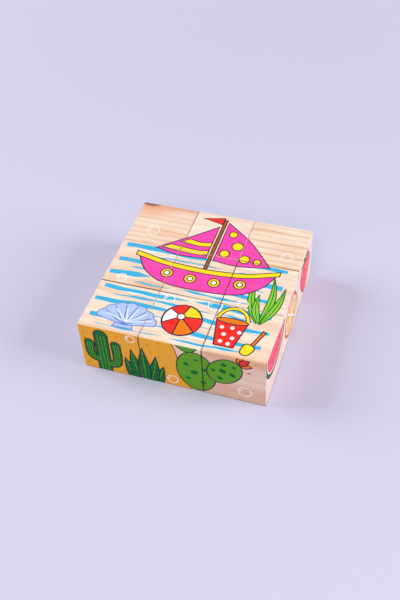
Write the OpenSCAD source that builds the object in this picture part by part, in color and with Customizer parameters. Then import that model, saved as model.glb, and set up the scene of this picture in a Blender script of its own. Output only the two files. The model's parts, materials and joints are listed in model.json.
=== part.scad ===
// Picture cube puzzle: loose wooden blocks set edge to edge in a square.
// Every face of every block carries one piece of a picture, so the set makes as many
// pictures as a block has faces. Blocks are lifted out, or rolled over their rounded
// lower edges, to change the picture.
// Millimetres. The origin is the centre of the set's underside, on the table.
// +X runs to the right along the front row, +Y to the back and +Z up.

/* [Block] */
// Edge length of one cube block
block_size = 30; // [20:0.5:60]
// Radius of the sanded edges, which a block rolls over
edge_radius = 0.3; // [0.2:0.1:4]

/* [Layout] */
// Gap between neighbouring blocks, from left to right
column_gap = 0.2; // [0.1:0.05:3]
// Gap between neighbouring blocks, from front to back
row_gap = 0.2; // [0.1:0.05:3]

/* [Hidden] */
// Names of the columns from left to right, and of the rows from front to back
COLUMNS = ["left", "centre", "right"];
ROWS = ["front", "middle", "back"];

// Facets of a drawn circle
$fn = 48;

// Bare pine as it shows between the prints, and the warmer heartwood of some blocks
PALE_PINE = "#f6dfc2";
WARM_PINE = "#f0cba3";
WARM_BLOCKS = ["block_back_left", "block_middle_left", "block_front_right"];

// Distance between the centres of neighbouring blocks
column_pitch = block_size + column_gap;
row_pitch = block_size + row_gap;

// Width of a face between its two rounded edges
flat_width = block_size - 2 * edge_radius;

// From a block's centre to the tip of a corner sanded as round as the edges beside it
corner_reach = sqrt(3) * flat_width / 2 + edge_radius;

function block_name(column, row) = str("block_", row, "_", column);

// Place of one of a number of evenly spaced things, counted about their middle
function place(index, names, pitch) = (index - (len(names) - 1) / 2) * pitch;

// Outline of a block seen square on to a face
module rounded_square() {
    square([block_size, flat_width], center = true);
    square([flat_width, block_size], center = true);
    for (x = [-1, 1], y = [-1, 1])
        translate([x, y] * flat_width / 2)
            circle(r = edge_radius);
}

// Bar that rounds the four edges running along Z
module rounded_bar() {
    linear_extrude(block_size, center = true)
        rounded_square();
}

// One solid block about its own centre, with every edge rounded and every corner eased
module rounded_cube() {
    intersection() {
        rounded_bar();
        rotate([90, 0, 0]) rounded_bar();
        rotate([0, 90, 0]) rounded_bar();
        sphere(r = corner_reach);
    }
}

// The block in one column and row, standing on the table
module block(column, row) {
    name = block_name(COLUMNS[column], ROWS[row]);
    is_warm = len([for (warm = WARM_BLOCKS) if (warm == name) warm]) > 0;
    color(is_warm ? WARM_PINE : PALE_PINE)
        translate([
            place(column, COLUMNS, column_pitch),
            place(row, ROWS, row_pitch),
            block_size / 2
        ])
            rounded_cube();
}

for (row = [0 : len(ROWS) - 1], column = [0 : len(COLUMNS) - 1])
    block(column, row);
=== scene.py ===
"""Looks of the picture cube puzzle: pine blocks with a piece of a printed picture on every face."""
import json
import math
from collections import namedtuple

import bpy
import numpy as np
from mathutils import Matrix, Vector
from mathutils.geometry import delaunay_2d_cdt


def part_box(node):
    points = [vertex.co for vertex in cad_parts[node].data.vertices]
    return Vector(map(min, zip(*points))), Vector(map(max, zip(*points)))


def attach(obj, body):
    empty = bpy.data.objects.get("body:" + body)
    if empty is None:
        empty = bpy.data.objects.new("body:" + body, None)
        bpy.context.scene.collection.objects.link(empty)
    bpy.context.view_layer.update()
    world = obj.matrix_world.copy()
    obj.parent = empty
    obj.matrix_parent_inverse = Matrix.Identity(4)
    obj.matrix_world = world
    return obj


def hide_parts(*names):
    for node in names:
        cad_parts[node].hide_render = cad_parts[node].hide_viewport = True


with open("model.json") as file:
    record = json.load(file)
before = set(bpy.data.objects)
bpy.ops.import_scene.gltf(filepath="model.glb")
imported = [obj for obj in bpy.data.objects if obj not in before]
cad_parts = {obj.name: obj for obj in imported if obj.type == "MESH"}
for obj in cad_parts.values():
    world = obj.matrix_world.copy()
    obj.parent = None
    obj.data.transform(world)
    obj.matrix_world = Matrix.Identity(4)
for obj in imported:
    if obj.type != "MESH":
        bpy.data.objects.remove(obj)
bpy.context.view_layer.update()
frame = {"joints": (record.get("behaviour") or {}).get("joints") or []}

# Sizes, in millimetres, taken from the frame
MM = 0.001
COLUMNS = ["left", "centre", "right"]
ROWS = ["front", "middle", "back"]
low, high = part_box("block_middle_centre")
BLOCK = (high.x - low.x) / MM
HALF = BLOCK / 2
# A block rolls about the axis of its rounded lower edge, which lies one edge radius above the table
EDGE_RADIUS = min(joint["pos_m"][2] for joint in frame["joints"] if joint["type"] == "hinge") / MM
FLAT = HALF - EDGE_RADIUS

# Pictures are drawn in millimetres on a square as wide as the set, with the origin at its lower left corner
TILES = len(COLUMNS)
PICTURE = BLOCK * TILES
# Widths of an outline, of a bubble's ring, of a fine line and of a petal's outline
LINE = 0.55
RING_LINE = 0.45
FINE_LINE = 0.4
PETAL_LINE = 0.35
# The corners of a stroke reach out to this many times half its width at most
MITRE_LIMIT = 2
# Spacing of points along a curve, and the fewest points of an ellipse, a leaf's side and a curve's stretch
SPACING = 0.8
ELLIPSE_POINTS = 10
BLADE_POINTS = 8
CURVE_POINTS = 2
# A length too short to matter
EPSILON = 1e-5

# Colours of the inks
INKS = {
    "line": "#2a1638",
    "pink": "#fb4db6",
    "rose": "#fb5c7a",
    "red": "#f8342e",
    "orange": "#f58220",
    "sand": "#f9b036",
    "brown": "#a8602a",
    "yellow": "#ffe52a",
    "lime": "#8fd43a",
    "green": "#64a62a",
    "leaf": "#067031",
    "blue": "#3eb8ea",
    "violet": "#7688d6",
    "lilac": "#b7ceff",
    "white": "#fffdfb",
}


# Curves


def unit(vectors):
    """Vectors of length one."""
    return vectors / np.maximum(np.linalg.norm(vectors, axis=-1, keepdims=True), EPSILON)


def across(vectors):
    """Flat vectors turned a quarter turn to the left."""
    return np.stack([-vectors[..., 1], vectors[..., 0]], axis=-1)


def around(centre, radii, angles):
    """The points at some angles, in degrees, on a circle or an upright ellipse."""
    wide, tall = radii if np.ndim(radii) else (radii, radii)
    angles = np.radians(angles)
    return np.stack([centre[0] + wide * np.cos(angles), centre[1] + tall * np.sin(angles)], axis=-1)


def turned(points, turn, centre):
    """Points given about the origin, turned by an angle in degrees and moved to a centre."""
    u, v = np.asarray(points, float).T
    angle = math.radians(turn)
    return np.stack([
        centre[0] + u * math.cos(angle) - v * math.sin(angle),
        centre[1] + u * math.sin(angle) + v * math.cos(angle),
    ], axis=-1)


def mirrored(points):
    """Points of one side as they are on the other side, in reverse order."""
    return [(-u, v) for u, v in points[::-1]]


def ellipse(centre, radii, turn=0.0, start=0.0, end=360.0):
    """Points round an ellipse, or along part of it, in degrees."""
    radii = np.broadcast_to(np.asarray(radii, float), 2)
    count = max(ELLIPSE_POINTS, int(math.radians(end - start) * radii.max() / SPACING))
    is_closed = end - start >= 360
    angles = np.linspace(start, end, count, endpoint=not is_closed)
    return turned(around((0, 0), radii, angles), turn, centre)


def curve(*points, closed=False):
    """A smooth line through a few points."""
    points = np.array(points, float)
    if closed:
        ring = np.vstack([points[-1], points, points[:2]])
    else:
        ring = np.vstack([2 * points[0] - points[1], points, 2 * points[-1] - points[-2]])
    pieces = []
    for before, here, there, after in zip(ring, ring[1:], ring[2:], ring[3:]):
        count = max(CURVE_POINTS, int(np.linalg.norm(there - here) / SPACING))
        t = np.linspace(0, 1, count, endpoint=False)[:, None]
        pieces.append(0.5 * (
            2 * here
            + (there - before) * t
            + (2 * before - 5 * here + 4 * there - after) * t ** 2
            + (3 * here - before - 3 * there + after) * t ** 3
        ))
    if not closed:
        pieces.append(points[-1:])
    return np.vstack(pieces)


def sized_curve(points, size, centre, closed=False):
    """A smooth line through points given in shares of a size about a centre."""
    return curve(*(np.array(points, float) * size + centre), closed=closed)


def corners(*points):
    """A shape with straight sides."""
    return np.array(points, float)


def joined(*lines):
    """A closed shape of lines laid end to end, each point once."""
    line = np.vstack(lines)
    is_new = np.linalg.norm(line - np.roll(line, 1, axis=0), axis=1) > EPSILON
    return line[is_new]


def ribbon(line, width, closed=False):
    """The outline of a stroke along a line, or both its outlines if the line is closed."""
    ahead = unit(np.roll(line, -1, axis=0) - line)
    behind = np.roll(ahead, 1, axis=0)
    if not closed:
        ahead[-1] = behind[-1]
        behind[0] = ahead[0]
    side = unit(across(ahead) + across(behind))
    lean = np.maximum((side * across(ahead)).sum(axis=1), 1 / MITRE_LIMIT)
    reach = side * (width / 2 / lean)[:, None]
    if closed:
        return [line + reach, line - reach]
    return [np.vstack([line + reach, (line - reach)[::-1]])]


def blade(base, tip, width, bend):
    """The outline and the midrib of a pointed leaf that bows sideways."""
    base = np.array(base, float)
    along = np.array(tip, float) - base
    t = np.linspace(0, 1, max(BLADE_POINTS, int(np.linalg.norm(along) / SPACING)))[:, None]
    sideways = unit(across(along))
    rib = base + along * t + sideways * bend * np.sin(np.pi * t)
    half = sideways * width / 2 * np.sin(np.pi * t ** 0.8)
    return np.vstack([rib + half, (rib - half)[-2:0:-1]]), rib


class Drawing:
    """Flat shapes in printing order, each an ink with its outlines, which covers what lies under it."""

    def __init__(self, draw):
        self.shapes = []
        draw(self)

    def fill(self, ink, *outlines):
        self.shapes.append((ink, outlines))

    def stroke(self, ink, line, width, closed=False):
        self.fill(ink, *ribbon(line, width, closed))

    def shape(self, ink, outline, width=LINE, line_ink="line"):
        """A filled shape with a drawn outline."""
        self.fill(ink, outline)
        self.stroke(line_ink, outline, width, closed=True)

    def disc(self, ink, centre, radii, turn=0.0):
        self.shape(ink, ellipse(centre, radii, turn))

    def spots(self, ink, radius, *centres):
        for centre in centres:
            self.fill(ink, ellipse(centre, radius))

    def ground(self, ink, *points, line_ink="line"):
        """Land up to a smooth line from side to side."""
        self.shape(ink, joined(corners((PICTURE + 1, -1), (-1, -1)), curve(*points)), line_ink=line_ink)

    def bubbles(self, *places):
        """Thin rings with a short glint inside, each by its centre and its radius."""
        for u, v, radius in places:
            self.stroke("white", ellipse((u, v), radius), RING_LINE, closed=True)
            self.stroke("white", ellipse((u, v), radius * 0.62, start=115, end=190), FINE_LINE)

    def leaf(self, base, tip, width, bend, ink, rib_ink):
        outline, rib = blade(base, tip, width, bend)
        self.shape(ink, outline)
        self.stroke(rib_ink, rib[1:-2], FINE_LINE)

    def sun(self, centre, radius, ray_ends, ray_width):
        """A disc with rays between two distances from its centre."""
        self.disc("yellow", centre, radius)
        for angle in np.arange(0, 360, 30):
            self.stroke("orange", curve(*(around(centre, end, angle) for end in ray_ends)), ray_width)

    def cloud(self, centre, size):
        """Overlapping puffs, outlined as one shape."""
        puffs = ((-1, 0, 0.55), (-0.45, 0.38, 0.68), (0.25, 0.5, 0.78), (0.9, 0.08, 0.62), (0, -0.02, 0.7))
        for ink, margin in (("violet", LINE), ("white", 0)):
            for u, v, radius in puffs:
                middle = (centre[0] + u * size, centre[1] + v * size)
                self.fill(ink, ellipse(middle, radius * size + margin))

    def streak(self, ink, left, right, height, thickness, ends, phase):
        """A long stroke of a flat brush, with a share of its thickness left at either end."""
        spacing = 1.2
        u = np.linspace(left, right, int((right - left) / spacing) + 2)
        t = (u - left) / (right - left)
        taper = np.interp(t, (0, 0.22, 0.7, 1), (ends[0], 1, 1, ends[1]))

        def wave(size, length, turns):
            return size * np.sin(2 * np.pi * (u / length + turns * phase))

        middle = height + wave(0.45, 52, 1)
        upper = middle + taper * (thickness / 2 + wave(0.2, 17, 3))
        lower = middle - taper * (thickness / 2 + wave(0.2, 13, 5))
        self.fill(ink, joined(np.column_stack([u, upper]), np.column_stack([u, lower])[::-1]))


# Pictures


def draw_water(art):
    """Rows of brush strokes, bold and thin by turns, each broken once, with foam under the bold ones."""
    left_margin = 1.2
    right_margin = PICTURE - 3
    break_width = 3
    tip = 0.1
    foam_drop = 0.55
    foam_thickness = 0.7
    rng = np.random.default_rng(7)
    foam_rng = np.random.default_rng(3)
    for number, height in enumerate(np.arange(57, 3, -4.9)):
        bold = number % 2 == 0
        gap = rng.uniform(22, 68)
        spare = rng.uniform(0, 2) if bold else rng.uniform(3, 16)
        thickness = rng.uniform(2.2, 3.6, 2) if bold else rng.uniform(0.7, 1.4, 2)
        shift = rng.uniform(-0.8, 0.8, 2)
        blunt = 0.8 if bold else 0.3
        halves = (
            (left_margin + spare, gap, (blunt, tip)),
            (gap + break_width, right_margin - spare, (tip, blunt)),
        )
        for half, (left, right, ends) in enumerate(halves):
            middle = height + shift[half]
            art.streak("blue", left, right, middle, thickness[half], ends, rng.uniform())
            if bold:
                start, end = left + (right - left) * foam_rng.uniform((0.0, 0.6), (0.3, 1.0))
                foam = middle - thickness[half] / 2 - foam_drop
                art.streak("white", start, end, foam, foam_thickness, (tip, tip), foam_rng.uniform())


def draw_shell(art, hinge):
    """A scallop shell that opens upwards from its hinge."""
    first = 12
    last = 168
    lobes = 7
    angles = np.linspace(first, last, 85)
    lobe_angles = (angles - first) * lobes * 180 / (last - first)
    reach = 14.5 + 0.9 * np.abs(np.sin(np.radians(lobe_angles)))
    foot = corners((-5, -1.6), (5, -1.6), (3, 3), (-3, 3)) + hinge
    art.shape("lilac", foot, line_ink="violet")
    art.shape("lilac", joined([hinge], around(hinge, (reach, 0.92 * reach), angles)), line_ink="violet")
    for angle in np.linspace(first, last, lobes + 1)[1:-1]:
        tip = around(hinge, (13.6, 12.5), angle)
        art.stroke("violet", curve(hinge, tip), 0.6)
        art.stroke("white", curve((hinge[0] + 1, hinge[1] + 2), (tip[0] + 1, tip[1] - 1.5)), 0.5)


def draw_boat(art):
    """A boat with two sails, a flag and a row of portholes."""
    art.stroke("line", curve((46, 49), (46, 87)), 2.2)
    art.stroke("brown", curve((46, 49), (46, 86.6)), 1.2)
    art.shape("red", corners((45, 88), (34, 85.4), (45, 83)))
    main_sail = joined(curve((48, 85), (62, 74), (76, 58.5)), curve((76, 58.5), (61, 55.6), (48, 56.5)))
    art.shape("pink", main_sail)
    for u, v, radius in ((52.5, 77, 2.2), (57, 69, 2.9), (52, 62.5, 2.5), (62.5, 61, 2.6), (69, 60.6, 1.9)):
        art.disc("yellow", (u, v), radius)
    fore_sail = joined(curve((44, 81), (33, 71), (18, 58.5)), curve((18, 58.5), (30, 56), (44, 57)))
    art.shape("pink", fore_sail)
    for top, left in ((68.5, 32.5), (62.5, 24.5)):
        upper = curve((left, top), (38, top - 1), (44, top))
        lower = curve((44, top - 3), (38, top - 4), (left - 4, top - 3))
        art.shape("yellow", joined(upper, lower))
    deck = curve((10, 54), (28, 50.4), (48, 49.6), (66, 51.6), (82, 57))
    hull = joined(deck, curve((82, 57), (75, 43.5), (62, 36), (34, 35), (19, 41), (10, 54)))
    art.shape("pink", hull)
    art.shape("yellow", joined(deck, deck[::-1] - (0, 3)))
    for centre in ((29, 42.6), (41, 41.6), (53, 41.8), (65, 43.8)):
        art.disc("yellow", centre, 2.9)
        art.disc("white", centre, 1.5)


def draw_sea(art):
    """A sailing boat on a striped sea, with beach things in front."""
    draw_water(art)

    # Reeds on the right
    for base, tip, bend in (
        ((79, 22), (72, 50), 2.4), ((80, 22), (80, 53), -2.4),
        ((81, 22), (87, 47), -1.6), ((80.5, 22), (76, 40), 1.8),
    ):
        outline, rib = blade(base, tip, 3.4, bend)
        art.shape("lime", outline, line_ink="leaf")
        art.stroke("leaf", rib[3:-4], FINE_LINE)

    draw_shell(art, (21, 5))

    # Ball in the middle of the front row
    ball = (46, 15)
    pole = (45, 17)
    radius = 9.5
    art.disc("red", ball, radius)
    for ink, start in (("yellow", 20), ("white", 140), ("orange", 260)):
        rim = ellipse(ball, radius - LINE / 2, start=start, end=start + 62)
        art.shape(ink, joined(curve(pole, rim[0]), rim, curve(rim[-1], pole)))
    art.disc("white", pole, 1.9)

    # Bucket and spade at the front right
    handle = ellipse((68.5, 20), (7.2, 8.5), start=10, end=170)
    art.stroke("line", handle, 2.3)
    art.stroke("yellow", handle, 1.3)
    art.shape("red", corners((61, 20.5), (76, 20.5), (73, 5), (64, 5)))
    art.disc("orange", (68.5, 20.5), (7.6, 1.7))
    art.spots(
        "white", 1.05,
        (64.8, 16), (69.6, 16.6), (73.4, 14.6), (66.8, 12), (71.2, 10.6), (66.4, 7.6), (70.2, 6.9),
    )
    art.shape("orange", ribbon(curve((80, 6), (84.5, 18)), 1.5)[0])
    art.shape("yellow", curve((77.6, 8.6), (76.6, 3.6), (80, 2.4), (82.6, 6.6), (80.6, 8.8), closed=True))

    draw_boat(art)
    art.bubbles((12, 70, 3.1), (36, 26.6, 2.5), (82, 68, 2.7), (58, 28, 3.2), (9, 34, 2.3), (70, 32, 2.5))


def draw_desert(art):
    """Cactuses and aloes on a dune."""
    slope = curve((55, -1), (50, 12), (46, 30), (36, 44), (18, 50), (-1, 47))
    art.shape("sand", joined(corners((-1, -1), (55, -1)), slope), line_ink="brown")
    # Specks, none of them past the slope
    rng = np.random.default_rng(11)
    for u in np.arange(4, 48, 5.2):
        for v in np.arange(4, 44, 7.5):
            centre = (u + rng.uniform(-2, 2), v + rng.uniform(-2.6, 2.6))
            if centre[0] < 44 - max(0, centre[1] - 24) * 0.6:
                art.spots("orange", 0.6, centre)

    # Aloes, whose leaves spread from under the sand
    for base, tips in (
        ((31.5, -7), ((22, 13), (41, 12), (25.5, 19.5), (37.5, 18), (31, 22.5))),
        ((41, 33), ((34, 46), (48, 46), (41, 51))),
    ):
        for tip in tips:
            art.leaf(base, tip, 6.2, (tip[0] - base[0]) * -0.16, "leaf", "green")

    # Column cactus with two arms: all its outline first, then its flesh, then its ribs
    branches = (
        (curve((11, -3), (11, 10), (11, 25)), 6.4),
        (curve((11, 8), (6.2, 8.6), (4.6, 12), (4.6, 18.5)), 4.2),
        (curve((11, 5.5), (16.4, 6.2), (18, 10), (18, 20)), 4.2),
    )
    for ink, margin in (("line", LINE), ("leaf", 0)):
        for line, width in branches:
            art.stroke(ink, line, width + 2 * margin)
            art.fill(ink, ellipse(line[-1], width / 2 + margin))
    for line, width in branches:
        sideways = unit(across(line[2:] - line[1:-1]))
        for share in (-0.26, 0, 0.26):
            art.stroke("green", line[2:] + share * width * sideways, FINE_LINE)

    # Cactus pads with dark spots, and flowers on some of them
    for centre, radii, turn in (
        ((52, 36), (6.5, 9.5), 14), ((68, 40), (6.5, 9), -18), ((60, 54), (6, 8.4), 4),
        ((57, 14), (9.4, 13.2), 6), ((70.5, 18.5), (7.4, 9.6), -42),
    ):
        art.disc("green", centre, radii, turn)
        for u, v, radius in (
            (-0.45, 0.35, 1.5), (0.1, 0.62, 1.1), (0.5, 0.15, 1.6),
            (-0.1, -0.05, 1.9), (-0.5, -0.4, 1.2), (0.25, -0.55, 1.5),
        ):
            spot = turned((u * radii[0], v * radii[1]), turn, centre)
            art.fill("leaf", ellipse(spot, (radius, radius * 0.75), turn))
    for base, way in (((77.5, 25.5), 40), ((64, 62.5), 80), ((49, 45.6), 105), ((73, 46.4), 70)):
        for turn in (-42, 42, 0):
            petal = blade(base, around(base, 6, way + turn), 3.6, 0)[0]
            art.shape("orange" if turn else "red", petal)

    art.sun((20, 72), 9, (11, 15), 1.2)
    art.cloud((66, 76), 8)
    art.bubbles((45, 4.6, 2.6), (80, 7, 3.1), (26, 27, 2.2), (84.5, 35, 2.6), (8, 58, 2.6))


def draw_fruit(art):
    """Slices and whole fruit."""

    def melon(centre, radius, turn):
        def half(share):
            return ellipse(centre, radius * share, turn, 180, 360)

        art.shape("leaf", half(1))
        art.fill("white", half(0.88))
        art.shape("rose", half(0.82), line_ink="red")
        for angle, share in ((205, 0.62), (235, 0.5), (262, 0.66), (285, 0.4), (312, 0.6), (338, 0.5)):
            seed = around(centre, share * radius, angle + turn)
            art.fill("line", ellipse(seed, (0.55, 1.0), angle + turn - 90))

    def orange_slice(centre, radius):
        art.disc("orange", centre, radius)
        art.fill("white", ellipse(centre, radius * 0.86))
        width = 37
        for start in np.arange(4, 364, 45):
            wedge = ellipse(centre, radius * 0.79, start=start, end=start + width)
            art.fill("sand", joined([around(centre, 1.2, start + width / 2)], wedge))

    def berry(centre, size):
        right = [(0.72, -0.45), (0.96, 0.3), (0.62, 0.8)]
        outline = [(0, -1.2), *right, (0, 0.86), *mirrored(right)]
        art.shape("rose", sized_curve(outline, size, centre, closed=True))
        for u, v in ((-0.45, 0.3), (0.1, 0.35), (0.55, 0.2), (-0.2, -0.15), (0.3, -0.25), (0, -0.65)):
            art.fill("yellow", ellipse((centre[0] + u * size, centre[1] + v * size), (0.5, 0.8)))
        base = (centre[0], centre[1] + 0.75 * size)
        for way in (20, 60, 120, 160):
            tip = around(base, (size * 0.8, size * 0.55), way)
            art.shape("green", blade(base, tip, 2.2, 0)[0])

    melon((16, 27.5), 17, -8)
    orange_slice((46, 14), 11.5)
    berry((75, 15), 10.5)
    berry((16, 44), 9)

    # Two cherries on one stalk
    art.stroke("line", curve((42, 52), (45, 60), (52, 66)), 1.5)
    art.stroke("line", curve((58, 51), (56, 60), (52, 66)), 1.5)
    art.leaf((52, 65), (66, 70), 6, 1.5, "green", "leaf")
    for centre in ((41, 46), (58, 45)):
        art.disc("red", centre, 7.4)
        art.stroke("white", ellipse(centre, 4.8, start=100, end=165), 1.1)

    orange_slice((76, 47), 10)
    melon((22, 82), 18, 6)
    pear = curve((68, 86), (63, 80), (58, 74), (60, 66), (68, 63), (76, 66), (78, 74), (73, 80), closed=True)
    art.shape("lime", pear, line_ink="leaf")
    art.stroke("brown", curve((68, 85), (70, 89)), 1.5)
    art.bubbles((33, 4.5, 2.4), (60, 25.5, 2.6), (86, 28, 2.4))


def draw_balloons(art):
    """Striped hot air balloons over hills and a river."""
    art.ground("green", (-1, 22), (16, 27), (36, 19), (56, 24), (74, 29), (91, 23))
    art.ground("lime", (-1, 12), (20, 9), (42, 15), (66, 10), (91, 15))
    left_bank = curve((40, 16), (48, 10), (38, 4), (46, -1))
    right_bank = curve((58, -1), (47, 5), (57, 11), (46, 18))
    art.shape("blue", joined(left_bank, right_bank), line_ink="violet")

    # Trees and daisies
    for u, v, size in ((12, 17, 5.2), (21, 15, 4.2), (70, 18, 5.4), (80, 15.5, 4.6)):
        art.stroke("brown", curve((u, v - size - 3), (u, v)), 1.6)
        art.disc("leaf", (u, v), (size, size * 1.15))
        art.spots("green", 0.8, (u - size * 0.4, v), (u + size * 0.3, v + size * 0.4))
    for centre in ((6, 4), (15, 5.5), (26, 3.5), (32, 8), (64, 4), (74, 6), (84, 4.5)):
        art.spots("white", 0.9, *around(centre, 1.2, np.arange(0, 360, 72)))
        art.spots("yellow", 0.8, centre)

    def balloon(centre, radius, inks):
        bottom = centre[1] - radius * 1.35
        for side in (-1, 1):
            upper = (centre[0] + side * radius * 0.5, bottom + 3)
            lower = (centre[0] + side * 2, bottom - 6)
            art.stroke("brown", curve(upper, lower), 0.5)
        for share, ink in zip((1.0, 0.68, 0.3), inks):
            right = [(0.72 * share, 0.7), (share, 0.05), (0.62 * share, -0.75), (0.24 * share, -1.3)]
            art.shape(ink, sized_curve([(0, 1), *right, *mirrored(right)], radius, centre, closed=True))
        basket = corners((-2.6, -6), (2.6, -6), (2.1, -10), (-2.1, -10))
        art.shape("brown", basket + (centre[0], bottom))

    art.cloud((14, 66), 6)
    art.cloud((74, 50), 6.5)
    balloon((34, 66), 17, ("pink", "yellow", "pink"))
    balloon((74, 74), 10, ("red", "orange", "yellow"))
    art.bubbles((56, 38, 2.4), (10, 40, 2.8))


def draw_meadow(art):
    """Spotted toadstools in grass."""
    art.ground("lime", (-1, 9), (24, 6), (48, 9), (70, 6), (91, 10), line_ink="leaf")

    def toadstool(foot, height, radius, ink):
        left_side = [(-0.32, 0), (-0.2, 0.5), (-0.24, 1)]
        stem = [sized_curve(side, (radius, height), foot) for side in (left_side, mirrored(left_side))]
        art.shape("white", joined(*stem))
        top = (foot[0], foot[1] + height)
        dome = sized_curve([(-1, 0), (-0.8, 0.52), (0, 0.92), (0.8, 0.52), (1, 0)], radius, top)
        brim = sized_curve([(1, 0), (0, -0.2), (-1, 0)], radius, top)
        art.shape(ink, joined(dome, brim))
        for u, v, size in (
            (-0.5, 0.3, 0.15), (0.02, 0.58, 0.17), (0.5, 0.28, 0.14),
            (0.05, 0.12, 0.11), (-0.82, 0.12, 0.08),
        ):
            art.fill("white", ellipse((top[0] + u * radius, top[1] + v * radius), size * radius))

    toadstool((45, 3), 30, 15, "orange")
    toadstool((82, 4), 40, 9, "red")
    toadstool((14, 4), 44, 12, "rose")
    toadstool((19, 3), 11, 11, "red")
    toadstool((68, 3), 14, 13.5, "pink")

    # Grass and flowers
    rng = np.random.default_rng(5)
    for base in np.arange(1, 90, 3.1):
        lean = rng.uniform(-3.5, 3.5)
        height = rng.uniform(5, 12)
        art.leaf((base, -1), (base + lean, height), 1.9, lean * 0.2, "green", "leaf")
    for u, v, size in ((31, 9, 3.4), (56, 7, 3.0), (60, 60, 5.5), (32, 70, 5.0), (80, 74, 5.2)):
        art.stroke("leaf", curve((u, v - size * 2.6), (u, v)), 0.9)
        for angle in np.arange(0, 360, 45):
            petal = around((u, v), size * 0.62, angle)
            art.shape("yellow", ellipse(petal, (size * 0.42, size * 0.24), angle), PETAL_LINE)
        art.disc("orange", (u, v), size * 0.34)
    art.bubbles((30, 24, 2.6), (86, 26, 2.3))


def draw_rainbow(art):
    """A rainbow between clouds, with a kite."""
    middle = (45, 16)
    band = 4.4
    for number, ink in enumerate(("red", "orange", "yellow", "lime", "blue", "violet")):
        outer = ellipse(middle, 40 - number * band, start=0, end=180)
        inner = ellipse(middle, 40 - (number + 1) * band, start=0, end=180)
        art.shape(ink, joined(outer, inner[::-1]))
    art.cloud((14, 14), 10)
    art.cloud((76, 14), 10)

    # Kite with bows on its tail
    top = (52, 84)
    right = (62, 72)
    foot = (48, 58)
    left = (42, 74)
    cross = (50.5, 73.2)
    art.shape("pink", corners(top, right, foot, left))
    art.shape("yellow", corners(top, right, cross))
    art.shape("yellow", corners(left, cross, foot))
    tail = curve(foot, (44, 50), (50, 44), (45, 36), (50, 30))
    art.stroke("line", tail, 0.6)
    for place, ink in ((0.25, "red"), (0.5, "blue"), (0.75, "green")):
        u, v = tail[int(place * len(tail))]
        for side in (-3, 3):
            art.shape(ink, corners((u, v), (u + side, v + 1.6), (u + side, v - 1.6)))

    art.sun((16, 76), 8, (9.5, 13), 1.3)
    art.cloud((76, 72), 7)


# Blocks: each face is a flat square that runs on round the edges to the line where it meets its neighbours

# Half the width of a face laid flat, out to the middle of the rounded edges
REACH = FLAT + EDGE_RADIUS * math.pi / 4
# The print runs on nearly to the edge's middle
BLEED = REACH - EDGE_RADIUS * 0.06
# Strips of the round part of a face, and the places of the lines that cross it, from one border to the other
ROUND_STEPS = 3
steps = FLAT + (REACH - FLAT) * np.arange(ROUND_STEPS + 1) / ROUND_STEPS
FACE_LINES = np.concatenate([-steps[::-1], steps])


def clipped(starts, ends, limit):
    """The parts of straight pieces that lie in a square about the origin."""
    kept = []
    for a, b in zip(starts, ends):
        way = b - a
        enter = 0.0
        leave = 1.0
        for axis in (0, 1):
            if abs(way[axis]) < EPSILON:
                if abs(a[axis]) > limit:
                    leave = -1.0
                continue
            first, last = sorted(((-limit - a[axis]) / way[axis], (limit - a[axis]) / way[axis]))
            enter = max(enter, first)
            leave = min(leave, last)
        if leave - enter > EPSILON:
            kept.append((a + way * enter, a + way * leave))
    return kept


def inside(points, outlines):
    """Whether each point lies inside an odd number of the outlines."""
    odd = np.zeros(len(points), bool)
    u = points[:, 0, None]
    v = points[:, 1, None]
    for outline in outlines:
        a = outline
        b = np.roll(outline, -1, axis=0)
        crosses = (a[:, 1] > v) != (b[:, 1] > v)
        rise = np.where(b[:, 1] == a[:, 1], 1.0, b[:, 1] - a[:, 1])
        meets = a[:, 0] + (v - a[:, 1]) / rise * (b[:, 0] - a[:, 0])
        odd ^= (crosses & (u < meets)).sum(axis=1) % 2 == 1
    return odd


def printed_face(picture, column, row, ink_numbers):
    """Triangles of one face laid flat, cut along the outlines of a picture, and the ink of each."""
    centre = (np.array([column, row]) + 0.5) * BLOCK
    shapes = []
    pieces = []
    for ink, outlines in picture.shapes:
        outlines = [outline - centre for outline in outlines]
        extent = np.vstack(outlines)
        if (extent.min(axis=0) > BLEED).any() or (extent.max(axis=0) < -BLEED).any():
            continue
        shapes.append((ink, outlines))
        for outline in outlines:
            pieces += clipped(outline, np.roll(outline, -1, axis=0), BLEED)
    for place in FACE_LINES:
        for start, end in zip(FACE_LINES, FACE_LINES[1:]):
            pieces += [((place, start), (place, end)), ((start, place), (end, place))]
    for side in (-BLEED, BLEED):
        pieces += [((side, -BLEED), (side, BLEED)), ((-BLEED, side), (BLEED, side))]
    ends = [Vector(point) for piece in pieces for point in piece]
    edges = [(2 * number, 2 * number + 1) for number in range(len(pieces))]
    points, _, triangles = delaunay_2d_cdt(ends, edges, [], 0, EPSILON)[:3]
    points = np.array([tuple(point) for point in points])
    triangles = np.array([tuple(triangle) for triangle in triangles])
    middles = points[triangles].mean(axis=1)
    inks = np.zeros(len(triangles), int)
    in_print = (np.abs(middles) < BLEED).all(axis=1)
    for ink, outlines in shapes:
        inks[inside(middles, outlines) & in_print] = ink_numbers[ink]
    return points, triangles, inks


def wrapped(points):
    """Places and directions, on a rounded cube, of points on its upper face laid flat."""
    flat = np.clip(points, -FLAT, FLAT)
    lean = np.tan((points - flat) / EDGE_RADIUS)
    direction = unit(np.column_stack([lean, np.ones(len(points))]))
    core = np.column_stack([flat, np.full(len(points), FLAT)])
    return core + EDGE_RADIUS * direction, direction


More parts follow.
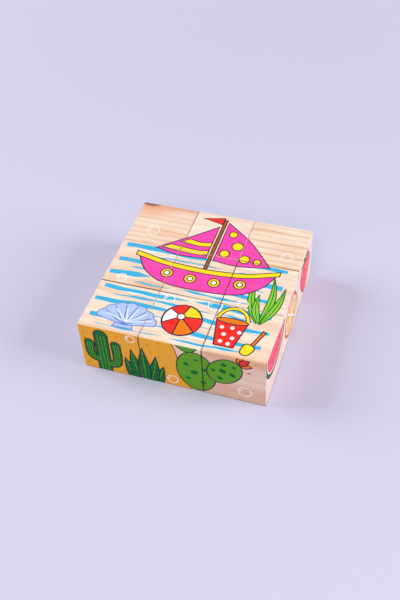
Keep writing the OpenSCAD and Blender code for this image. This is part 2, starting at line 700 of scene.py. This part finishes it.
# Faces of a block: right and up on the picture, and the tile of the picture for a block's column and row
LAST = TILES - 1
FACES = [
    (draw_sea, (1, 0, 0), (0, 1, 0), lambda column, row: (column, row)),
    (draw_desert, (1, 0, 0), (0, 0, 1), lambda column, row: (column, row)),
    (draw_fruit, (0, 1, 0), (0, 0, 1), lambda column, row: (row, LAST - column)),
    (draw_balloons, (-1, 0, 0), (0, 0, 1), lambda column, row: (LAST - column, LAST - row)),
    (draw_meadow, (0, -1, 0), (0, 0, 1), lambda column, row: (LAST - row, column)),
    (draw_rainbow, (1, 0, 0), (0, -1, 0), lambda column, row: (column, LAST - row)),
]

# The wood of a block: how warm it is, how strong its year rings are and how wide in millimetres, the place
# of the pith behind and above the block's middle, how far the heartwood reaches from the pith, the place and
# reach of a knot, how much the wood round it is reddened, how much painted shade reddens the front face, the
# place and reach of a stain of resin, and how much painted seam shade darkens the seams on its left and its
# front at both their ends
NOWHERE = (0, 0, 400)
Board = namedtuple(
    "Board",
    "warmth rings ring pith heart knot knot_reach blush front_blush stain stain_reach left_rub front_rub",
    defaults=(0, NOWHERE, (1, 1, 1), 0, 0, NOWHERE, (1, 1, 1), (1, 1), (1, 1)),
)
BOARDS = {
    "block_front_left": Board(0.34, 0.3, 3.4, (-20, -46)),
    "block_front_centre": Board(0.21, 0.25, 3, (34, -52), front_blush=0.36, left_rub=(1.1, -1.4)),
    "block_front_right": Board(
        0.37, 0.18, 4.6, (-6, -71), heart=69.3,
        knot=(7, -15, 6), knot_reach=(0.9, 1, 0.6), blush=0.25, front_blush=0.36,
        stain=(6, -15, 14), stain_reach=(30, 1.2, 4.2), left_rub=(2.4, 1.2),
    ),
    "block_middle_left": Board(
        0.49, 0.35, 3.6, (30, -50), stain=(10, -15, 15), stain_reach=(12, 6.5, 8), front_rub=(4, 4),
    ),
    "block_middle_centre": Board(0.4, 0.3, 3.1, (-60, 20), left_rub=(0.6, 0.45), front_rub=(3, 1)),
    "block_middle_right": Board(0.16, 0.45, 3.3, (-48, -30), left_rub=(2, 2), front_rub=(0.7, 0.5)),
    "block_back_left": Board(
        0.58, 0.55, 3.6, (52, 6), heart=42,
        knot=(-11, 15, 15), knot_reach=(5.5, 2.6, 3), blush=0.85, front_rub=(0.2, 0.2),
    ),
    "block_back_centre": Board(0.15, 0.12, 3, (20, -80), left_rub=(0.9, 1.1), front_rub=(0.35, 0.35)),
    "block_back_right": Board(
        0.4, 0.8, 4.1, (-72, 14), stain=(0, -15, 15), stain_reach=(40, 1.6, 2.5),
        left_rub=(0.25, 0.25), front_rub=(2.2, 1),
    ),
}
# How far apart along the log the wood of neighbouring columns and of neighbouring rows is
LOG_STEPS = (40, 130)
# Points that agree to this many decimals of a millimetre are one point
SHARED_DECIMALS = 4


def block_name(column, row):
    return f"block_{ROWS[row]}_{COLUMNS[column]}"


def left_rub(column, row):
    """How much painted shade darkens the seam on a block's left at both its ends, and zero outside the set.
    """
    return BOARDS[block_name(column, row)].left_rub if 0 < column < TILES else (0, 0)


def front_rub(column, row):
    """The same for the seam in front of a block."""
    return BOARDS[block_name(column, row)].front_rub if 0 < row < TILES else (0, 0)


def seam_shade_strengths(places, column, row):
    """How much painted shade darkens the seams nearest to each point: one beside it, and one before or
    behind it.
    """
    x, y = places[:, :2].T
    ends = (-HALF, HALF)
    left = np.interp(y, ends, left_rub(column, row))
    right = np.interp(y, ends, left_rub(column + 1, row))
    front = np.interp(x, ends, front_rub(column, row))
    back = np.interp(x, ends, front_rub(column, row + 1))
    to_side = np.where(x < 0, left, right)
    to_row = np.where(y < 0, front, back)
    return np.column_stack([to_side, to_row, np.zeros(len(places))])


def add_object(name, data):
    """A new object in the scene."""
    thing = bpy.data.objects.new(name, data)
    bpy.context.scene.collection.objects.link(thing)
    return thing


def add_attribute(mesh, name, vectors):
    """Gives each point of a mesh a vector of its own, or all of them the same one."""
    attribute = mesh.attributes.new(name, "FLOAT_VECTOR", "POINT")
    vectors = np.broadcast_to(np.asarray(vectors, np.float32), (len(mesh.vertices), 3))
    attribute.data.foreach_set("vector", vectors.ravel())


def make_block(column, row, pictures, materials):
    """One block with its six printed faces."""
    name = block_name(column, row)
    ink_numbers = {ink: number for number, ink in enumerate(materials)}
    faces = []
    count = 0
    for picture, (_, right, up, tile) in zip(pictures, FACES):
        points, triangles, inks = printed_face(picture, *tile(column, row), ink_numbers)
        axes = np.array([right, up, np.cross(right, up)])
        places, directions = (vectors @ axes for vectors in wrapped(points))
        faces.append((places, directions, triangles + count, inks))
        count += len(points)
    places, directions, triangles, inks = (np.concatenate(part) for part in zip(*faces))

    # Neighbouring faces share the points of their border, and triangles that shrink to a line are left out
    rounded = np.round(places, SHARED_DECIMALS)
    _, kept, number = np.unique(rounded, axis=0, return_index=True, return_inverse=True)
    places = places[kept]
    directions = directions[kept]
    triangles = number.ravel()[triangles]
    whole = (triangles != np.roll(triangles, 1, axis=1)).all(axis=1)
    triangles = triangles[whole]
    inks = inks[whole]

    low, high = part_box(name)
    centre = np.array((low + high) / 2)
    mesh = bpy.data.meshes.new(f"printed_{name}")
    mesh.from_pydata(places * MM + centre, [], triangles.tolist())
    for material in materials.values():
        mesh.materials.append(material)
    mesh.polygons.foreach_set("material_index", inks)
    mesh.polygons.foreach_set("use_smooth", np.ones(len(inks), bool))
    board = BOARDS[name]
    log_place = LOG_STEPS[0] * column + LOG_STEPS[1] * row
    for attribute, vectors in (
        ("local", places),
        ("grain", (places - (log_place, *board.pith)) / board.ring),
        ("knot", (places - board.knot) / board.knot_reach),
        ("tone", (board.warmth, board.rings, board.heart / board.ring)),
        ("stain", (places - board.stain) / board.stain_reach),
        # The blush attribute's second value is the painted shade of the front face
        ("blush", (board.blush, board.front_blush, 0)),
        # How much painted shade darkens the nearest seams
        ("rub", seam_shade_strengths(places, column, row)),
    ):
        add_attribute(mesh, attribute, vectors)
    mesh.normals_split_custom_set_from_vertices(directions)
    return name, add_object(mesh.name, mesh)


# Materials


def colour(text):
    """A colour written in hex, as the shader takes it."""
    values = [int(text[start:start + 2], 16) / 255 for start in (1, 3, 5)]
    linear = [value / 12.92 if value <= 0.04045 else ((value + 0.055) / 1.055) ** 2.4 for value in values]
    return (*linear, 1.0)


class Nodes:
    """A short way to write node trees."""

    def __init__(self, tree):
        self.tree = tree
        tree.nodes.clear()

    def put(self, socket, value):
        if isinstance(value, bpy.types.NodeSocket):
            self.tree.links.new(value, socket)
        else:
            socket.default_value = value

    def add(self, kind, values=(), **settings):
        node = self.tree.nodes.new(f"ShaderNode{kind}")
        for name, value in settings.items():
            setattr(node, name, value)
        for name, value in dict(values).items():
            self.put(node.inputs[name], value)
        return node

    def math(self, operation, *values):
        return self.add("Math", dict(enumerate(values)), operation=operation).outputs[0]

    def vector_math(self, operation, *values):
        node = self.add("VectorMath", dict(enumerate(values)), operation=operation)
        return node.outputs["Value" if operation == "LENGTH" else "Vector"]

    def attribute(self, name):
        return self.add("Attribute", attribute_name=name).outputs["Vector"]

    def split(self, vector):
        return self.add("SeparateXYZ", {"Vector": vector}).outputs

    def ramp(self, value, low, high, to_low=0.0, to_high=1.0):
        """A value carried smoothly from one range to another."""
        values = {"Value": value, "From Min": low, "From Max": high, "To Min": to_low, "To Max": to_high}
        return self.add("MapRange", values, interpolation_type="SMOOTHSTEP").outputs["Result"]

    def noise(self, vector, scale, detail=2.0, roughness=0.5):
        values = {"Vector": vector, "Scale": scale, "Detail": detail, "Roughness": roughness}
        return self.add("TexNoise", values).outputs["Fac"]

    def mix(self, share, first, second, blend="MIX"):
        """Two colours mixed. A Mix node's sockets for colours have these numbers."""
        node = self.add("Mix", data_type="RGBA", blend_type=blend)
        for socket, value in ((0, share), (6, first), (7, second)):
            self.put(node.inputs[socket], value)
        return node.outputs[2]

    def shaded(self, plain, shade):
        """A colour times a number."""
        grey = self.add("CombineXYZ", {"X": shade, "Y": shade, "Z": shade}).outputs[0]
        return self.mix(1.0, plain, grey, "MULTIPLY")


PALE_PINE = colour("#feecda")
WARM_PINE = colour("#f7ccae")
HEART_PINE = colour("#e1aa86")
RING_PINE = colour("#d99a64")
STAIN_PINE = colour("#e59f5e")
# Painted light: end grain paler and pinker, as the right-hand faces look in bright lamp light
LIT_END_PINE = colour("#f7e0d8")
# Painted shade: the redder, darker colour laid on the front faces
FRONT_SHADE_PINE = colour("#f0b0a6")
# Painted shade: the dark colour laid along the seams between blocks and along their bottom edges
EDGE_SHADE_PINE = colour("#3d2717")
KNOT_PINE = colour("#8a5642")
BLUSH_PINE = colour("#f0a680")

# Specular levels of bare wood and of ink, and the depths of their relief in metres
WOOD_SPECULAR = 0.2
INK_SPECULAR = 0.08
WOOD_RELIEF = 0.00006
INK_RELIEF = 0.00003


def past_flat(nodes, local):
    """How many edge radii a point lies past the flat of a face, by its second largest coordinate."""
    x, y, z = nodes.split(nodes.vector_math("ABSOLUTE", local))
    smaller = nodes.math("MINIMUM", x, y)
    larger = nodes.math("MAXIMUM", x, y)
    second = nodes.math("MAXIMUM", smaller, nodes.math("MINIMUM", larger, z))
    return nodes.math("DIVIDE", nodes.math("SUBTRACT", second, FLAT), EDGE_RADIUS)


def inner_side_shade(nodes, local):
    """How much painted shade darkens the sides that face another block, and zero on the set's outer faces.
    """
    places = nodes.split(nodes.vector_math("ABSOLUTE", local))
    rub = nodes.split(nodes.attribute("rub"))
    sides = [nodes.math("MULTIPLY", nodes.ramp(places[axis], FLAT, HALF), rub[axis]) for axis in ("X", "Y")]
    return nodes.math("MAXIMUM", nodes.math("MAXIMUM", *sides), 0.0)


def painted_edge_shade(nodes, local, clouds):
    """How much painted shade darkens the edges: in patches along the sides that face a neighbour, and along
    the bottom.
    """
    fade = 2
    contact_shade_start = 0.9
    contact_shade_end = 0.1
    upward = nodes.split(local)["Z"]
    height = nodes.math("ABSOLUTE", upward)
    # Painted seam shade on the sides that face a neighbour, weaker near the top and the bottom, in patches
    rim = inner_side_shade(nodes, local)
    rim = nodes.math("MULTIPLY", rim, nodes.ramp(height, HALF - fade, HALF, 1.0, 0.5))
    rim = nodes.math("MULTIPLY", rim, nodes.ramp(clouds, 0.35, 0.65, 0.6, 0.95))
    # Painted contact shade: darker towards the bottom edges, where the block stands on the table
    contact_shade = nodes.ramp(upward, contact_shade_start - HALF, contact_shade_end - HALF, 0.0, 0.7)
    edge = nodes.ramp(past_flat(nodes, local), -1.6, 0.2)
    return nodes.math("MINIMUM", nodes.math("MULTIPLY", nodes.math("MAXIMUM", rim, contact_shade), edge), 0.95)


def year_rings(nodes, grain, knot):
    """The distance from the pith in rings, which sway and bend round a knot, and their dark late wood."""
    slow = nodes.vector_math("MULTIPLY", grain, (0.05, 0.3, 0.3))
    sway = nodes.math("MULTIPLY_ADD", nodes.noise(slow, 1.0), 1.1, -0.55)
    fine_sway = nodes.math("MULTIPLY_ADD", nodes.noise(slow, 4.5), 0.14, -0.07)
    bend = nodes.math("DIVIDE", 0.9, nodes.math("ADD", 1.0, nodes.math("MULTIPLY", knot, knot)))
    radius = nodes.vector_math("LENGTH", nodes.vector_math("MULTIPLY", grain, (0.0, 1.0, 1.0)))
    radius = nodes.math("ADD", nodes.math("ADD", radius, sway), nodes.math("ADD", fine_sway, bend))
    phase = nodes.math("FRACT", radius)
    late = nodes.math("MULTIPLY", nodes.ramp(phase, 0.5, 0.92), nodes.ramp(phase, 1.0, 0.93))
    number = nodes.math("FLOOR", radius)
    year = nodes.add("TexWhiteNoise", {"W": number}, noise_dimensions="1D").outputs["Value"]
    return radius, nodes.math("MULTIPLY", late, nodes.math("MULTIPLY_ADD", year, 0.65, 0.45))


def pine_group():
    """Pine cut from a round log: year rings about a pith, fibres along it, heartwood and knots."""
    group = bpy.data.node_groups.new("pine", "ShaderNodeTree")
    group.interface.new_socket("Color", in_out="OUTPUT", socket_type="NodeSocketColor")
    for name in ("Ring", "Painted Shade", "Height"):
        group.interface.new_socket(name, in_out="OUTPUT", socket_type="NodeSocketFloat")
    nodes = Nodes(group)
    local = nodes.attribute("local")
    grain = nodes.attribute("grain")
    warmth, strength, heart = nodes.split(nodes.attribute("tone"))
    knot_blush, front_blush, _ = nodes.split(nodes.attribute("blush"))
    knot = nodes.vector_math("LENGTH", nodes.attribute("knot"))
    stain = nodes.vector_math("LENGTH", nodes.attribute("stain"))

    # Rings show less on the end grain
    radius, late = year_rings(nodes, grain, knot)
    along, side, height = nodes.split(nodes.vector_math("ABSOLUTE", local))
    past_sides = nodes.math("SUBTRACT", along, nodes.math("MAXIMUM", side, height))
    end_grain = nodes.ramp(past_sides, -0.4, 0.4)
    ring = nodes.math("MULTIPLY", late, strength)
    ring = nodes.math("MULTIPLY", ring, nodes.ramp(end_grain, 0, 1, 1.0, 0.55))

    # Cloudy tone, painted shade that reddens the front, heartwood, end grain with painted light that makes
    # it paler and pinker, and rings
    clouds = nodes.noise(nodes.vector_math("MULTIPLY", grain, (0.16, 0.8, 0.8)), 0.9, 1.0)
    tone = nodes.math("ADD", warmth, nodes.ramp(clouds, 0.3, 0.7, -0.3, 0.3))
    tone = nodes.math("MINIMUM", nodes.math("MAXIMUM", tone, 0.0), 1.0)
    wood = nodes.mix(tone, PALE_PINE, WARM_PINE)
    backward = nodes.split(local)["Y"]
    # Painted shade: the front face turned redder and darker, standing in for its shade and the lilac floor's
    # bounce
    wood = nodes.mix(nodes.ramp(backward, -FLAT, -HALF, 0.0, front_blush), wood, FRONT_SHADE_PINE)
    in_heart = nodes.ramp(nodes.math("SUBTRACT", heart, radius), -0.2, 0.9, 0.0, 0.6)
    wood = nodes.mix(in_heart, wood, HEART_PINE)
    # Painted light: the end grain turned paler and pinker, standing in for bright lamp light on the side
    # faces
    wood = nodes.mix(nodes.math("MULTIPLY", end_grain, 0.75), wood, LIT_END_PINE)
    wood = nodes.mix(nodes.math("MULTIPLY", ring, 0.75), wood, RING_PINE)

    # Fibres and pores
    fibres = nodes.noise(nodes.vector_math("MULTIPLY", local, (0.05, 1.0, 1.0)), 2.6, 3.0, 0.6)
    pores = nodes.noise(nodes.vector_math("MULTIPLY", local, (0.16, 1.0, 1.0)), 7.0, 2.0, 0.5)
    fibre_shade = nodes.ramp(fibres, 0.25, 0.75, 0.93, 1.03)
    pore_shade = nodes.ramp(pores, 0.3, 0.7, -0.025, 0.015)
    wood = nodes.shaded(wood, nodes.math("ADD", fibre_shade, pore_shade))

    # Resin stains and knots, which run out along the fibres
    streaky = nodes.math("MULTIPLY_ADD", fibres, 0.8, -0.4)
    stained = nodes.ramp(nodes.math("ADD", stain, streaky), 1.1, 0.5, 0.0, 0.55)
    wood = nodes.mix(stained, wood, STAIN_PINE)
    wood = nodes.mix(nodes.ramp(knot, 4.4, 0.9, 0.0, knot_blush), wood, BLUSH_PINE)
    in_knot = nodes.ramp(nodes.math("ADD", knot, streaky), 1.15, 0.55, 0.0, 0.9)
    wood = nodes.mix(in_knot, wood, KNOT_PINE)

    # Painted shade: the seams between blocks and the bottom edges turned towards a dark brown
    painted_shade = painted_edge_shade(nodes, local, clouds)
    wood = nodes.mix(painted_shade, wood, EDGE_SHADE_PINE)
    relief = nodes.math("ADD", nodes.math("MULTIPLY", fibres, 0.5), nodes.math("MULTIPLY", pores, 0.5))
    relief = nodes.math("ADD", relief, nodes.math("MULTIPLY", ring, 0.4))
    output = group.nodes.new("NodeGroupOutput")
    for name, value in (("Color", wood), ("Ring", ring), ("Painted Shade", painted_shade), ("Height", relief)):
        nodes.put(output.inputs[name], value)
    return group


def finished(nodes, surface, base, roughness, height, depth):
    """Ends a material with its colour, roughness and relief, whose depth is in metres."""
    bump = nodes.add("Bump", {"Strength": 1.0, "Distance": depth, "Height": height}).outputs["Normal"]
    for name, value in (("Base Color", base), ("Roughness", roughness), ("Normal", bump)):
        nodes.put(surface.inputs[name], value)
    nodes.add("OutputMaterial", {"Surface": surface.outputs["BSDF"]})


def new_material(name):
    material = bpy.data.materials.new(name)
    material.use_nodes = True
    return material, Nodes(material.node_tree)


def wood_material(pine):
    """Bare sanded pine."""
    material, nodes = new_material("bare_pine")
    wood = nodes.add("Group", node_tree=pine).outputs
    surface = nodes.add("BsdfPrincipled", {"Specular IOR Level": WOOD_SPECULAR})
    roughness = nodes.math("MULTIPLY_ADD", wood["Height"], 0.18, 0.5)
    finished(nodes, surface, wood["Color"], roughness, wood["Height"], WOOD_RELIEF)
    return material


def ink_material(name, ink, pine):
    """A thin film of ink: the rings show faintly through it and it wears off along the edges."""
    material, nodes = new_material(f"ink_{name}")
    wood = nodes.add("Group", node_tree=pine).outputs
    local = nodes.attribute("local")
    density = nodes.noise(local, 0.35, 2.0)
    grit = nodes.noise(local, 6.0, 2.0, 0.6)
    film = nodes.mix(nodes.math("MULTIPLY", wood["Ring"], 0.16), colour(ink), RING_PINE)
    density_shade = nodes.ramp(density, 0.3, 0.7, 0.955, 1.01)
    grit_shade = nodes.ramp(grit, 0.3, 0.7, -0.02, 0.015)
    film = nodes.shaded(film, nodes.math("ADD", density_shade, grit_shade))

    patchy = nodes.math("MULTIPLY_ADD", nodes.noise(local, 0.9, 3.0, 0.65), 1.6, -0.8)
    worn = nodes.ramp(nodes.math("ADD", past_flat(nodes, local), patchy), 0.8, 1.5)
    # Painted shade darkens the ink along the seams and the bottom edges; where the ink is worn off, the wood
    # shows
    base = nodes.mix(worn, nodes.mix(wood["Painted Shade"], film, EDGE_SHADE_PINE), wood["Color"])
    surface = nodes.add("BsdfPrincipled", {"Specular IOR Level": INK_SPECULAR})
    roughness = nodes.math("MULTIPLY_ADD", grit, 0.16, 0.4)
    roughness = nodes.math("MULTIPLY_ADD", worn, 0.15, roughness)
    finished(nodes, surface, base, roughness, wood["Height"], INK_RELIEF)
    return material


# The set

pine = pine_group()
materials = {"bare": wood_material(pine)}
for ink_name, ink_colour in INKS.items():
    materials[ink_name] = ink_material(ink_name, ink_colour, pine)

pictures = [Drawing(face[0]) for face in FACES]
for row in range(TILES):
    for column in range(TILES):
        node, block = make_block(column, row, pictures, materials)
        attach(block, node.removeprefix("block_"))
        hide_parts(node)

# Stage, in metres

FLOOR = colour("#d4d2ec")
BACKDROP = colour("#dad8f1")
FLOOR_REACH = 15.0
# The floor lies a hair under the blocks, so that it is never in one plane with their undersides
FLOOR_HEIGHT = -0.00002
# The lamps light the floor close to the object, and from here to there it turns into the backdrop
NEAR = 0.15
FAR = 0.7
SKY = (1.0, 0.985, 0.975, 1.0)
SKY_STRENGTH = 0.28


def seen_directly(nodes):
    """One for a ray from the camera, also by way of a mirror or glass, and zero for a ray of light."""
    ray = nodes.add("LightPath").outputs
    shown = nodes.math("MAXIMUM", ray["Is Camera Ray"], ray["Is Transmission Ray"])
    return nodes.math("MAXIMUM", shown, ray["Is Glossy Ray"])


def make_floor():
    """A pale floor that takes the object's shadow, and far from it has the backdrop's colour."""
    mesh = bpy.data.meshes.new("floor")
    ends = (-FLOOR_REACH, FLOOR_REACH)
    mesh.from_pydata([(x, y, FLOOR_HEIGHT) for x in ends for y in ends], [], [(0, 2, 3, 1)])
    material, nodes = new_material("floor")
    surface = nodes.add("BsdfPrincipled", {"Roughness": 0.9, "Specular IOR Level": 0.0, "Base Color": FLOOR})
    own = nodes.add("Emission", {"Color": BACKDROP, "Strength": 1.0})
    distance = nodes.vector_math("LENGTH", nodes.add("NewGeometry").outputs["Position"])
    share = nodes.math("MULTIPLY", seen_directly(nodes), nodes.ramp(distance, NEAR, FAR))
    shown = nodes.add("MixShader", {0: share, 1: surface.outputs["BSDF"], 2: own.outputs[0]})
    nodes.add("OutputMaterial", {"Surface": shown.outputs[0]})
    mesh.materials.append(material)
    floor = add_object("floor", mesh)


def make_world():
    """An even, nearly white sky, which the camera sees in the backdrop's colour."""
    world = bpy.data.worlds.new("studio")
    bpy.context.scene.world = world
    world.use_nodes = True
    nodes = Nodes(world.node_tree)
    light = nodes.add("Background", {"Color": SKY, "Strength": SKY_STRENGTH})
    backdrop = nodes.add("Background", {"Color": BACKDROP, "Strength": 1.0})
    shown = nodes.add("MixShader", {0: seen_directly(nodes), 1: light.outputs[0], 2: backdrop.outputs[0]})
    nodes.add("OutputWorld", {"Surface": shown.outputs[0]})


def aimed(position, target, roll=0.0):
    """The turn that points a lamp or camera from one place to another, rolled about its own axis."""
    turn = (Vector(target) - Vector(position)).to_track_quat("-Z", "Y").to_matrix().to_4x4()
    return Matrix.Translation(position) @ turn @ Matrix.Rotation(roll, 4, "Z")


def make_softbox(name, position, size, power):
    lamp = bpy.data.lights.new(name, "AREA")
    lamp.shape = "SQUARE"
    lamp.size = size
    lamp.energy = power
    softbox = add_object(name, lamp)
    softbox.matrix_world = aimed(position, (0, 0, 0))


# The photograph's camera: its angles, its distance from the point it looks at, its lens and its sensor
AZIMUTH = math.radians(20.70)
ELEVATION = math.radians(46.00)
ROLL = math.radians(-3.81)
DISTANCE = 0.4263
AIM = Vector((-0.0004, -0.0011, 0.0138))
LENS = 51.62
SENSOR = 36


def make_camera():
    lens = bpy.data.cameras.new("camera")
    lens.sensor_width = SENSOR
    lens.lens = LENS
    lens.clip_start = 0.01
    camera = add_object("camera", lens)
    back = Vector((
        math.sin(AZIMUTH) * math.cos(ELEVATION),
        -math.cos(AZIMUTH) * math.cos(ELEVATION),
        math.sin(ELEVATION),
    ))
    camera.matrix_world = aimed(AIM + DISTANCE * back, AIM, ROLL)
    bpy.context.scene.camera = camera


make_floor()
make_world()
make_softbox("softbox_right", (1.6, 0.16, 0.8), 1.0, 21.0)
make_softbox("softbox_left", (-1.4, 0.0, 1.0), 1.0, 16.0)
make_softbox("softbox_front", (0.2, -1.2, 1.2), 0.8, 9.6)
make_camera()
bpy.context.scene.view_settings.view_transform = "Standard"
